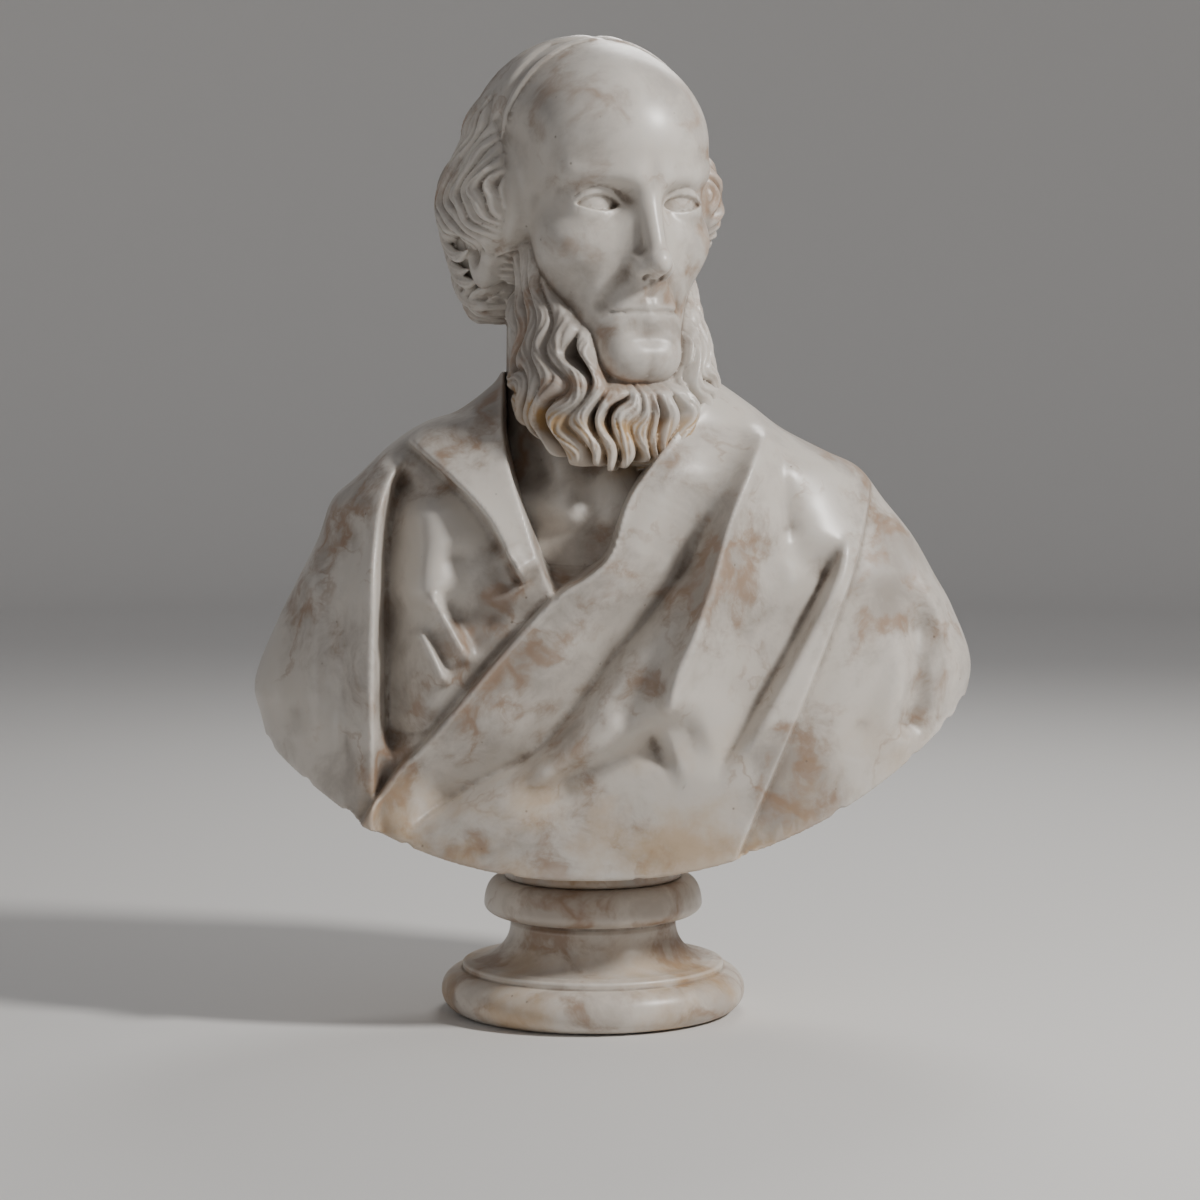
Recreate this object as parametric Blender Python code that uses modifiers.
"""Draped marble portrait bust on a turned marble socle, a little over life size.

The socle is a turned profile. The bust is blocked out from reshaped spheres and from curves for the locks
of hair and beard, fused with a voxel remesh, thinned out, cut to its rounded lower edge and set on a boss.
The figure is drawn in heads: one unit is the height of the head, z is 0 under the chin and 1 at the crown,
x runs to the right as seen from the front, and y from the front (-) to the back (+).
"""

import math

import bmesh
import bpy
import numpy as np

# Socle, in metres
SOCLE_HEIGHT = 0.099
FOOT_RADIUS = 0.1135
FOOT_HEIGHT = 0.031
FILLET_RADIUS = 0.0975
FILLET_HEIGHT = 0.007
WAIST_RADIUS = 0.062
SCOTIA_RADIUS = 0.090
CUSHION_RADIUS = 0.0815
CUSHION_HEIGHT = 0.028
CUSHION_BELLY = 0.009
CUSHION_LIP = 0.005
SOCLE_STEPS = 40

# Bust, in metres
HEAD_HEIGHT = 0.249
BOSS_RADIUS = 0.0665
BOSS_HEIGHT = 0.0165
JOINT_GAP = 0.0003

# Set of the figure, in heads and degrees
HEAD_TURN = 25.0
HEAD_PLACE = (-0.008, -0.048)
CUT_LOW = -1.426
CUT_RISE = 0.387
CUT_POWER = 2.2

# Fineness of the fused bust: divisions around and up, voxel in metres, and triangles kept before the cut
HEAD_GRID = (128, 96)
TORSO_GRID = (360, 280)
VOXEL = 0.0038
BUST_TRIANGLES = 7700

MARBLE = (0.62, 0.57, 0.51, 1.0)
MARBLE_ROUGHNESS = 0.42

BUST_BASE = SOCLE_HEIGHT + JOINT_GAP
CHIN_LEVEL = BUST_BASE + BOSS_HEIGHT - CUT_LOW * HEAD_HEIGHT


# Signed distances to simple forms, negative inside, for points of shape (n, 3)

def ellipsoid(points, centre, radii):
    scaled = (points - np.array(centre)) / np.array(radii)
    near = np.linalg.norm(scaled, axis=1)
    slope = np.linalg.norm(scaled / np.array(radii), axis=1) + 1e-9
    return near * (near - 1.0) / slope


def cone(points, start, end, start_radius, end_radius):
    start, end = np.array(start), np.array(end)
    along = end - start
    t = np.clip((points - start) @ along / (along @ along), 0.0, 1.0)
    off_axis = points - start - t[:, None] * along
    return np.linalg.norm(off_axis, axis=1) - start_radius - (end_radius - start_radius) * t


def merge(a, b, soft):
    """Union of two forms with a soft join."""
    h = np.clip(0.5 + 0.5 * (b - a) / soft, 0.0, 1.0)
    return b + (a - b) * h - soft * h * (1.0 - h)


def carve(a, b, soft):
    """Form a with form b taken out of it."""
    return -merge(-a, b, soft)


# The head, in its own axes: x across, y forward, z up. It is the same on both sides

def skull(points):
    form = ellipsoid(points, (0, -0.03, 0.665), (0.330, 0.405, 0.333))
    form = merge(form, ellipsoid(points, (0, 0.20, 0.66), (0.255, 0.225, 0.25)), 0.08)
    form = merge(form, ellipsoid(points, (0, 0.17, 0.36), (0.215, 0.235, 0.30)), 0.08)
    jaw = cone(points, (0.195, 0.03, 0.17), (0.045, 0.335, 0.065), 0.065, 0.058)
    form = merge(form, jaw, 0.08)
    form = merge(form, ellipsoid(points, (0, 0.362, 0.072), (0.078, 0.062, 0.066)), 0.05)
    form = merge(form, ellipsoid(points, (0.175, 0.255, 0.425), (0.09, 0.10, 0.06)), 0.07)
    return carve(form, ellipsoid(points, (0.345, 0.18, 0.62), (0.06, 0.15, 0.12)), 0.06)


def eyes(points, form):
    form = merge(form, cone(points, (0.03, 0.392, 0.560), (0.19, 0.325, 0.575), 0.035, 0.030), 0.04)
    form = carve(form, ellipsoid(points, (0.138, 0.455, 0.505), (0.085, 0.09, 0.052)), 0.04)
    form = merge(form, ellipsoid(points, (0.136, 0.312, 0.498), (0.066, 0.066, 0.060)), 0.012)
    return form


def nose(points, form):
    form = merge(form, cone(points, (0, 0.375, 0.53), (0, 0.462, 0.335), 0.030, 0.030), 0.035)
    form = merge(form, ellipsoid(points, (0, 0.477, 0.325), (0.037, 0.037, 0.036)), 0.02)
    return merge(form, ellipsoid(points, (0.052, 0.425, 0.312), (0.028, 0.042, 0.030)), 0.02)


def mouth(points, form):
    form = merge(form, ellipsoid(points, (0, 0.335, 0.20), (0.125, 0.10, 0.10)), 0.05)
    form = merge(form, cone(points, (0, 0.432, 0.210), (0.105, 0.385, 0.193), 0.018, 0.006), 0.02)
    form = merge(form, cone(points, (0, 0.427, 0.168), (0.095, 0.385, 0.185), 0.024, 0.006), 0.02)
    form = carve(form, cone(points, (0, 0.462, 0.190), (0.11, 0.405, 0.190), 0.006, 0.003), 0.008)
    return carve(form, ellipsoid(points, (0, 0.480, 0.118), (0.09, 0.06, 0.022)), 0.04)


def hair_mass(points, form):
    """The full sides and back of the hair, under the locks."""
    form = merge(form, ellipsoid(points, (0.30, -0.07, 0.53), (0.105, 0.22, 0.20)), 0.06)
    form = merge(form, ellipsoid(points, (0.255, -0.12, 0.34), (0.09, 0.15, 0.14)), 0.06)
    return merge(form, ellipsoid(points, (0, -0.30, 0.47), (0.25, 0.15, 0.24)), 0.08)


def beard_mass(points, form):
    """The fringe of beard round the jaw and under the chin, which leaves the face bare."""
    form = merge(form, ellipsoid(points, (0, 0.14, -0.045), (0.235, 0.235, 0.185)), 0.05)
    return merge(form, ellipsoid(points, (0.225, 0.055, 0.13), (0.075, 0.12, 0.20)), 0.05)


def head_form(points):
    half = points * np.array((1.0, 1.0, 1.0))
    half[:, 0] = np.abs(half[:, 0])
    form = mouth(half, nose(half, eyes(half, skull(half))))
    return beard_mass(half, hair_mass(half, form))


def cast(form, origins, directions, reach):
    """Points where rays coming in along the directions first meet a form."""
    distance = np.full(len(origins), reach)
    for _ in range(48):
        distance -= 0.8 * form(origins + distance[:, None] * directions)
        distance = np.clip(distance, 0.02, reach)
    return origins + distance[:, None] * directions


def turned(points):
    """Points of the head in the figure's axes, after the head's turn."""
    turn = math.radians(HEAD_TURN)
    across, forward, up = points.T
    x = HEAD_PLACE[0] + across * math.cos(turn) + forward * math.sin(turn)
    y = HEAD_PLACE[1] + across * math.sin(turn) - forward * math.cos(turn)
    return np.stack([x, y, up], axis=1)


def in_metres(points):
    return points * HEAD_HEIGHT + np.array((0.0, 0.0, CHIN_LEVEL))


# Curves and folds drawn on the front and the back

def smooth_path(knots, count):
    """A curve through the knots, as count points."""
    knots = np.array(knots, float)
    ends = np.vstack([2 * knots[0] - knots[1], knots, 2 * knots[-1] - knots[-2]])
    places = np.linspace(0, len(knots) - 1 - 1e-6, count)
    i = places.astype(int)
    t = (places - i)[:, None]
    a, b, c, d = ends[i], ends[i + 1], ends[i + 2], ends[i + 3]
    return 0.5 * (2 * b + (c - a) * t + (2 * a - 5 * b + 4 * c - d) * t**2 + (3 * b - a - 3 * c + d) * t**3)


def beside(x, z, knots):
    """Distance to a stroke drawn downwards, positive to its right, and the place along it from 0 to 1."""
    path = smooth_path(knots, 20)
    best = np.full(len(x), 1e9)
    side, place = np.zeros(len(x)), np.zeros(len(x))
    for i, (start, end) in enumerate(zip(path[:-1], path[1:])):
        dx, dz = end - start
        t = np.clip(((x - start[0]) * dx + (z - start[1]) * dz) / (dx * dx + dz * dz), 0, 1)
        off_x, off_z = x - start[0] - t * dx, z - start[1] - t * dz
        gap = np.hypot(off_x, off_z)
        nearer = gap < best
        best = np.where(nearer, gap, best)
        side = np.where(nearer, np.sign(dx * off_z - dz * off_x), side)
        place = np.where(nearer, (i + t) / (len(path) - 1), place)
    return best * side, place


def ease(value):
    value = np.clip(value, 0.0, 1.0)
    return value * value * (3 - 2 * value)


def ends_faded(place, first, last):
    return ease(place / max(first, 1e-3)) * ease((1 - place) / max(last, 1e-3))


def fold(x, z, knots, height, left, right, first=0.2, last=0.2):
    """A ridge, or a valley where the height is negative, with its own width on each side."""
    gap, place = beside(x, z, knots)
    width = np.where(gap < 0, left, right)
    return height * np.exp(-((gap / width) ** 2)) * ends_faded(place, first, last)


def lap(x, z, knots, height, edge, reach, first=0.02, last=0.02):
    """A layer of cloth that starts at the stroke and dies away over its reach to the right."""
    gap, place = beside(x, z, knots)
    rise = ease(0.5 + 0.5 * gap / edge)
    return height * rise * np.exp(-((np.maximum(gap, 0) / reach) ** 2)) * ends_faded(place, first, last)


LAPEL_EDGE = ((-0.262, 0.06), (-0.254, -0.037), (-0.254, -0.152), (-0.225, -0.276), (-0.176, -0.42),
              (-0.138, -0.536), (-0.105, -0.625))
LAPEL_RIDGE = ((-0.56, -0.166), (-0.407, -0.288), (-0.312, -0.383), (-0.254, -0.478), (-0.196, -0.585))
SASH_EDGE = ((0.36, 0.06), (0.348, -0.018), (0.248, -0.131), (0.162, -0.24), (0.091, -0.345), (0.043, -0.488),
             (-0.111, -0.613), (-0.251, -0.764), (-0.476, -1.029), (-0.647, -1.237), (-0.72, -1.36))
SASH_VALLEY = ((0.40, -0.29), (0.326, -0.406), (0.216, -0.596), (0.057, -0.794), (-0.06, -0.947),
               (-0.173, -1.069), (-0.437, -1.22), (-0.56, -1.31))
SASH_RIDGE = ((0.515, -0.129), (0.473, -0.2), (0.382, -0.416), (0.328, -0.599), (0.236, -0.835), (0.202, -1.0))
SASH_DIP = ((0.721, -0.456), (0.658, -0.585), (0.532, -0.822), (0.383, -1.077), (0.34, -1.16))
HEM = ((0.83, -0.27), (0.799, -0.386), (0.753, -0.542), (0.606, -0.915), (0.451, -1.283), (0.36, -1.5))
ARM_VALLEY = ((-0.54, -0.239), (-0.577, -0.345), (-0.597, -0.631), (-0.597, -0.821), (-0.591, -1.015),
              (-0.56, -1.101))
ARM_RIDGE = ((-0.551, -0.207), (-0.623, -0.498), (-0.63, -0.70), (-0.632, -0.919), (-0.632, -1.15))


def neck_opening(x, z):
    """1 where the mantle is open between the lapel and the sash, 0 on the cloth."""
    from_lapel, _ = beside(x, z, LAPEL_EDGE)
    from_sash, _ = beside(x, z, SASH_EDGE)
    inside = np.minimum(from_lapel, -from_sash)
    return ease(0.5 + inside / 0.024) * (z > -0.66)


def front_relief(x, z):
    out = lap(x, z, LAPEL_RIDGE, 0.050, 0.018, 0.22, 0.05, 0.12)
    out += fold(x, z, LAPEL_RIDGE, -0.035, 0.06, 0.001, 0.1, 0.05)
    out += fold(x, z, ((-0.27, -0.47), (-0.225, -0.54), (-0.19, -0.60)), 0.035, 0.03, 0.03)
    out += fold(x, z, ARM_RIDGE, 0.050, 0.12, 0.022, 0.1, 0.02)
    out += fold(x, z, ARM_VALLEY, -0.075, 0.02, 0.085, 0.15, 0.2)
    out += fold(x, z, ((-0.50, -0.33), (-0.47, -0.50), (-0.50, -0.66)), 0.03, 0.05, 0.08)
    out += fold(x, z, ((-0.467, -0.60), (-0.416, -0.687), (-0.34, -0.82)), 0.030, 0.04, 0.02)
    out += fold(x, z, ((-0.505, -0.70), (-0.459, -0.781), (-0.41, -0.88)), 0.030, 0.03, 0.02)
    out += fold(x, z, ((-0.40, -0.45), (-0.35, -0.62), (-0.25, -0.72)), -0.025, 0.06, 0.06)
    out += fold(x, z, ((-0.774, -0.45), (-0.76, -0.726), (-0.742, -1.0)), -0.022, 0.04, 0.05)
    out += fold(x, z, ((-0.672, -0.33), (-0.71, -0.737), (-0.698, -1.2)), -0.022, 0.03, 0.04)
    out += fold(x, z, ((-0.86, -0.60), (-0.88, -0.80), (-0.86, -1.05)), -0.022, 0.05, 0.05)
    out += lap(x, z, SASH_EDGE, 0.045, 0.014, 0.5)
    out += fold(x, z, SASH_EDGE, -0.020, 0.05, 0.001)
    out += fold(x, z, SASH_VALLEY, -0.085, 0.055, 0.075, 0.25, 0.15)
    out += fold(x, z, ((0.33, -0.10), (0.20, -0.36), (0.07, -0.62), (-0.2, -0.92)), 0.030, 0.10, 0.08)
    out += fold(x, z, SASH_RIDGE, 0.075, 0.055, 0.060, 0.08, 0.05)
    out += fold(x, z, ((0.60, -0.26), (0.54, -0.50), (0.43, -0.80), (0.36, -0.95)), -0.045, 0.07, 0.07)
    out += fold(x, z, ((0.46, -0.338), (0.531, -0.478), (0.589, -0.605)), 0.020, 0.04, 0.04)
    out += fold(x, z, SASH_DIP, -0.045, 0.06, 0.04)
    out += fold(x, z, ((0.218, -1.032), (0.077, -1.095), (-0.065, -1.146), (-0.25, -1.25)), -0.030, 0.05, 0.05)
    gap, place = beside(x, z, HEM)
    out -= 0.035 * ease(0.5 + gap / 0.03) * np.exp(-np.maximum(gap, 0) / 0.25) * ends_faded(place, 0.05, 0.01)
    out += fold(x, z, ((0.86, -0.36), (0.926, -0.45), (1.0, -0.626), (1.07, -0.80)), 0.025, 0.04, 0.04)
    out += fold(x, z, ((0.944, -0.70), (0.938, -0.897), (0.90, -1.05)), -0.030, 0.04, 0.05)
    depth = 0.07 + 0.30 * ease((z + 0.62) / 0.5)
    return out * (1 - neck_opening(x, z)) - depth * neck_opening(x, z)


def back_relief(x, z):
    """The mantle behind: a rolled edge round the nape and long folds from the right shoulder."""
    out = fold(x, z, ((0.60, -0.25), (0.25, -0.36), (-0.25, -0.40), (-0.62, -0.28)), -0.03, 0.05, 0.05)
    for i in range(5):
        start = (0.78 - 0.10 * i, -0.38 + 0.02 * i)
        middle = (0.55 - 0.22 * i, -0.80 + 0.03 * i)
        end = (0.20 - 0.26 * i, -1.45 + 0.10 * i)
        out += fold(x, z, (start, middle, end), -0.045 + 0.004 * i, 0.035, 0.06, 0.25, 0.05)
        shift = 0.09
        ridge = ((start[0] - shift, start[1]), (middle[0] - shift, middle[1]), (end[0] - shift, end[1]))
        out += fold(x, z, ridge, 0.03, 0.05, 0.05, 0.25, 0.05)
    return out


# Rings of the draped torso from the bottom up: left and right point (x, z), front and back depth
TORSO_RINGS = (
    ((-0.90, -1.52), (1.00, -1.52), 0.50, 0.36),
    ((-0.93, -1.25), (1.05, -1.25), 0.53, 0.38),
    ((-0.985, -1.02), (1.095, -1.00), 0.545, 0.41),
    ((-1.009, -0.893), (1.126, -0.84), 0.54, 0.44),
    ((-0.937, -0.713), (1.07, -0.68), 0.515, 0.48),
    ((-0.877, -0.593), (1.015, -0.58), 0.49, 0.50),
    ((-0.817, -0.474), (0.949, -0.465), 0.455, 0.50),
    ((-0.775, -0.36), (0.865, -0.36), 0.42, 0.47),
    ((-0.70, -0.29), (0.79, -0.265), 0.385, 0.44),
    ((-0.60, -0.195), (0.69, -0.215), 0.35, 0.41),
    ((-0.50, -0.13), (0.56, -0.148), 0.32, 0.39),
    ((-0.40, -0.095), (0.47, -0.08), 0.30, 0.36),
    ((-0.30, -0.02), (0.385, -0.02), 0.27, 0.33),
    ((-0.265, 0.02), (0.34, 0.01), 0.24, 0.30),
    ((-0.235, -0.03), (0.31, -0.04), 0.20, 0.26),
    ((-0.20, -0.16), (0.27, -0.16), 0.17, 0.22),
)
SECTION_POWER = 2.35


def torso_points(around, level):
    """Points of the torso for an angle around it and a level from 0 at the bottom to 1 inside the collar."""
    rings = np.array([(*left, *right, front, back) for left, right, front, back in TORSO_RINGS])
    table = smooth_path(rings, 400)
    row = np.clip(level, 0, 1) * 399
    sized = np.stack([np.interp(row, np.arange(400), column) for column in table.T], axis=1)
    left_x, left_z, right_x, right_z, front, back = sized.T
    across = np.sign(np.cos(around)) * np.abs(np.cos(around)) ** (2 / SECTION_POWER)
    deep = np.sign(np.sin(around)) * np.abs(np.sin(around)) ** (2 / SECTION_POWER)
    x = (left_x + right_x) / 2 + across * (right_x - left_x) / 2
    z = left_z + (right_z - left_z) * (across + 1) / 2
    y = deep * np.where(deep < 0, front, back)
    facing = ease(-deep * 2.2)
    behind = ease(deep * 2.2)
    y -= facing * front_relief(x, z)
    y += behind * back_relief(x, z)
    return np.stack([x, y, z], axis=1)


# Meshes

def sphere_mesh(segments, rings):
    mesh = bmesh.new()
    bmesh.ops.create_uvsphere(mesh, u_segments=segments, v_segments=rings, radius=1.0)
    mesh.verts.ensure_lookup_table()
    return mesh, np.array([vert.co[:] for vert in mesh.verts])


def object_from(mesh, name):
    bmesh.ops.recalc_face_normals(mesh, faces=mesh.faces)
    data = bpy.data.meshes.new(name)
    mesh.to_mesh(data)
    mesh.free()
    made = bpy.data.objects.new(name, data)
    bpy.context.scene.collection.objects.link(made)
    return made


def reshaped(mesh, points, name):
    for vert, point in zip(mesh.verts, in_metres(points)):
        vert.co = point
    return object_from(mesh, name)


def make_head():
    mesh, directions = sphere_mesh(*HEAD_GRID)
    origins = np.tile((0.0, 0.02, 0.40), (len(directions), 1))
    return reshaped(mesh, turned(cast(head_form, origins, directions, 0.9)), "head")


def make_torso():
    mesh, round_points = sphere_mesh(*TORSO_GRID)
    around = np.arctan2(round_points[:, 1], round_points[:, 0])
    tilt = np.degrees(np.arcsin(np.clip(round_points[:, 2], -1, 1)))
    level = (tilt + 84) / 168
    points = torso_points(around, level)
    centre = np.array((0.04, 0.0, 0.0))
    inward = ease((np.abs(tilt) - 84) / 6)[:, None]
    points[:, :2] += inward * (centre[:2] - points[:, :2])
    return reshaped(mesh, points, "torso")


def make_ball(name, centre, radii):
    mesh, directions = sphere_mesh(32, 24)
    return reshaped(mesh, np.array(centre) + directions * np.array(radii), name)


def make_tube(name, points, radii, sides=8):
    """A tapering lock or column: a bevelled curve made into a mesh."""
    curve = bpy.data.curves.new(name, "CURVE")
    curve.dimensions = "3D"
    curve.bevel_depth = 1.0
    curve.bevel_resolution = (sides - 4) // 2
    curve.use_fill_caps = True
    spline = curve.splines.new("POLY")
    spline.points.add(len(points) - 1)
    for knot, place, radius in zip(spline.points, in_metres(np.array(points)), radii):
        knot.co = (*place, 1.0)
        knot.radius = radius * HEAD_HEIGHT
    guide = bpy.data.objects.new(name, curve)
    bpy.context.scene.collection.objects.link(guide)
    graph = bpy.context.evaluated_depsgraph_get()
    mesh = bmesh.new()
    mesh.from_mesh(bpy.data.meshes.new_from_object(guide.evaluated_get(graph)))
    bmesh.ops.remove_doubles(mesh, verts=mesh.verts, dist=1e-6)
    bpy.data.objects.remove(guide)
    return object_from(mesh, name)


def lock_points(start, end, wave, phase, lift, count=9):
    """A lock of hair on the head from one (bearing, height) to another, swaying from side to side."""
    t = np.linspace(0, 1, count)
    bearing = np.radians(start[0] + (end[0] - start[0]) * t + wave * np.sin(phase + 5.0 * t))
    height = start[1] + (end[1] - start[1]) * t
    origins = np.stack([np.zeros(count), np.full(count, 0.02), height], axis=1)
    directions = np.stack([np.sin(bearing), np.cos(bearing), np.zeros(count)], axis=1)
    on_head = cast(head_form, origins, directions, 0.7)
    return turned(on_head + lift * directions)


def lock_radii(thick, count=9):
    t = np.linspace(0, 1, count)
    return thick * (0.55 + 0.45 * np.sin(math.pi * np.clip(t * 1.15, 0, 1))) * (1 - 0.55 * t**4)


def make_beard():
    """Long waved locks that hang from the jaw, from one ear round to the other."""
    locks = []
    for i in range(21):
        bearing = -100 + 10 * i
        side = abs(bearing) / 100
        root = 0.02 + 0.26 * side**1.6
        tip = -0.225 + 0.20 * side**2.2 + 0.02 * math.sin(2.3 * i)
        path = lock_points((bearing * 0.93, root), (bearing, tip), 5.0, 1.9 * i, 0.012)
        locks.append(make_tube(f"beard_{i}", path, lock_radii(0.036)))
    for i in range(6):
        bearing = (-1, 1)[i % 2] * (62 + 9 * (i // 2))
        path = lock_points((bearing * 1.04, 0.42), (bearing * 0.9, 0.06), 4.0, 2.1 * i, 0.008)
        locks.append(make_tube(f"whisker_{i}", path, lock_radii(0.030)))
    return locks


def make_hair():
    """Waved locks over the ears and the nape, and the combed edge of the hair over the crown."""
    locks = []
    for side in (-1, 1):
        for i in range(7):
            bearing = side * (82 + 15 * i)
            path = lock_points((bearing - 6, 0.80), (bearing + side * 6, 0.52), 6.0, 1.7 * i + side, 0.006)
            locks.append(make_tube(f"upper_lock_{side}_{i}", path, lock_radii(0.038)))
            path = lock_points((bearing + 5, 0.60), (bearing + side * 12, 0.30), 8.0, 2.3 * i + side, 0.010)
            locks.append(make_tube(f"middle_lock_{side}_{i}", path, lock_radii(0.042)))
            if i:
                path = lock_points((bearing, 0.40), (bearing + side * 6, 0.14), 8.0, 1.3 * i, 0.006)
                locks.append(make_tube(f"lower_lock_{side}_{i}", path, lock_radii(0.040)))
    t = np.linspace(-1, 1, 21)
    for i in range(3):
        across = 0.36 * np.sin(t * 1.45)
        forward = 0.07 - 0.05 * i + 0.03 * np.abs(t)
        origins = np.stack([np.zeros(21), forward, np.full(21, 0.55)], axis=1)
        rise = 0.46 * np.cos(t * 1.45)
        directions = np.stack([across, np.zeros(21), rise], axis=1)
        directions /= np.linalg.norm(directions, axis=1)[:, None]
        path = turned(cast(head_form, origins, directions, 0.8))
        locks.append(make_tube(f"combed_strand_{i}", path, np.full(21, 0.017)))
    return locks


def outline_plate(name, depth):
    """The block below the bust's lower edge, that is cut away from it."""
    reach = np.linspace(-1.5, 1.5, 61)
    curve = CUT_LOW + CUT_RISE * np.abs(reach) ** CUT_POWER
    low = CUT_LOW - 0.6
    corners = [(x, z) for x, z in zip(reach, curve)] + [(1.5, low), (-1.5, low)]
    mesh = bmesh.new()
    flat = in_metres(np.array([(x, -depth, z) for x, z in corners]))
    face = mesh.faces.new([mesh.verts.new(place) for place in flat])
    grown = bmesh.ops.extrude_face_region(mesh, geom=[face])
    moved = [part for part in grown["geom"] if isinstance(part, bmesh.types.BMVert)]
    bmesh.ops.translate(mesh, verts=moved, vec=(0, 2 * depth * HEAD_HEIGHT, 0))
    return object_from(mesh, name)


def fused(parts, name):
    """One object from many, by one skin of voxels over them all."""
    joined = bmesh.new()
    for part in parts:
        joined.from_mesh(part.data)
        bpy.data.objects.remove(part)
    made = object_from(joined, name)
    skin = made.modifiers.new("skin", "REMESH")
    skin.mode = "VOXEL"
    skin.voxel_size = VOXEL
    polish = made.modifiers.new("polish", "SMOOTH")
    polish.factor = 0.5
    polish.iterations = 2
    return made


def make_bust(cutters):
    parts = [make_torso(), make_head()]
    parts.append(make_ball("breast", (0.0, 0.0, -0.62), (0.60, 0.40, 0.46)))
    neck_turn = turned(np.array([(0.0, -0.02, 0.22)]))[0]
    parts.append(make_tube("neck", [neck_turn, (0.0, 0.0, -0.30)], (0.235, 0.25), 24))
    parts += make_beard() + make_hair()
    bust = fused(parts, "bust")
    graph = bpy.context.evaluated_depsgraph_get()
    faces = 2 * len(bust.evaluated_get(graph).data.polygons)
    thin = bust.modifiers.new("thin", "DECIMATE")
    thin.ratio = min(1.0, BUST_TRIANGLES / faces)
    thin.use_collapse_triangulate = True
    lower_edge = outline_plate("lower_edge", 1.2)
    cut = bust.modifiers.new("lower_edge", "BOOLEAN")
    cut.operation = "DIFFERENCE"
    cut.object = lower_edge
    boss_top = CHIN_LEVEL + (CUT_LOW + 0.15) * HEAD_HEIGHT
    boss = make_boss(boss_top)
    join = bust.modifiers.new("boss", "BOOLEAN")
    join.operation = "UNION"
    join.object = boss
    for cutter in (lower_edge, boss):
        keep_as_cutter(cutter, cutters)
    return bust


def make_boss(top):
    """The short round foot under the bust that stands on the socle."""
    mesh = bmesh.new()
    height = top - BUST_BASE
    bmesh.ops.create_cone(mesh, cap_ends=True, segments=SOCLE_STEPS, radius1=BOSS_RADIUS, radius2=BOSS_RADIUS,
                          depth=height)
    bmesh.ops.translate(mesh, verts=mesh.verts, vec=(0, 0, BUST_BASE + height / 2))
    return object_from(mesh, "boss")


def keep_as_cutter(cutter, cutters):
    bpy.context.scene.collection.objects.unlink(cutter)
    cutters.objects.link(cutter)
    cutter.hide_render = True
    cutter.display_type = "WIRE"


# Socle

def arc(centre, radii, start, end, steps):
    """Points of an elliptical arc in the profile plane, in degrees."""
    turns = np.radians(np.linspace(start, end, steps + 1))
    return [(centre[0] + radii[0] * math.cos(a), centre[1] + radii[1] * math.sin(a)) for a in turns]


def socle_profile():
    """The turned outline from the centre of the top, down the outside, to the centre of the underside."""
    top_radius = BOSS_RADIUS + CUSHION_LIP
    belly = SOCLE_HEIGHT - CUSHION_HEIGHT + CUSHION_BELLY
    neck_top = SOCLE_HEIGHT - CUSHION_HEIGHT
    fillet_top = FOOT_HEIGHT + FILLET_HEIGHT
    scotia_top = neck_top - 0.18 * (neck_top - fillet_top)
    foot_half = FOOT_HEIGHT / 2
    points = [(0.0, SOCLE_HEIGHT)]
    points += arc((top_radius, belly), (CUSHION_RADIUS - top_radius, SOCLE_HEIGHT - belly), 90, 0, 4)
    underside = WAIST_RADIUS + 0.004
    points += arc((underside, belly), (CUSHION_RADIUS - underside, CUSHION_BELLY), 0, -90, 3)[1:]
    points += arc((SCOTIA_RADIUS, scotia_top), (SCOTIA_RADIUS - WAIST_RADIUS, scotia_top - fillet_top), 180, 270, 5)
    points += [(FILLET_RADIUS, fillet_top), (FILLET_RADIUS, FOOT_HEIGHT)]
    points += arc((FOOT_RADIUS - foot_half, foot_half), (foot_half, foot_half), 90, -90, 7)[1:]
    points += [(0.0, 0.0)]
    return points


def make_socle():
    data = bpy.data.meshes.new("socle")
    points = [(radius, 0.0, height) for radius, height in socle_profile()]
    data.from_pydata(points, [(i, i + 1) for i in range(len(points) - 1)], [])
    socle = bpy.data.objects.new("socle", data)
    bpy.context.scene.collection.objects.link(socle)
    turn = socle.modifiers.new("turned", "SCREW")
    turn.steps = SOCLE_STEPS
    turn.render_steps = SOCLE_STEPS
    turn.use_merge_vertices = True
    turn.merge_threshold = 0.0001
    return socle


def marble(name, colour, roughness):
    material = bpy.data.materials.new(name)
    material.use_nodes = True
    shader = material.node_tree.nodes["Principled BSDF"]
    shader.inputs["Base Color"].default_value = colour
    shader.inputs["Roughness"].default_value = roughness
    return material


def new_collection(name):
    made = bpy.data.collections.new(name)
    bpy.context.scene.collection.children.link(made)
    return made


def main():
    for old in list(bpy.data.objects):
        bpy.data.objects.remove(old)
    cutters = new_collection("cutters")
    pieces = new_collection("marble_bust")
    for piece in (make_bust(cutters), make_socle()):
        bpy.context.scene.collection.objects.unlink(piece)
        pieces.objects.link(piece)
        piece.data.materials.append(marble(f"{piece.name}_marble", MARBLE, MARBLE_ROUGHNESS))
        piece.data.shade_smooth()


main()
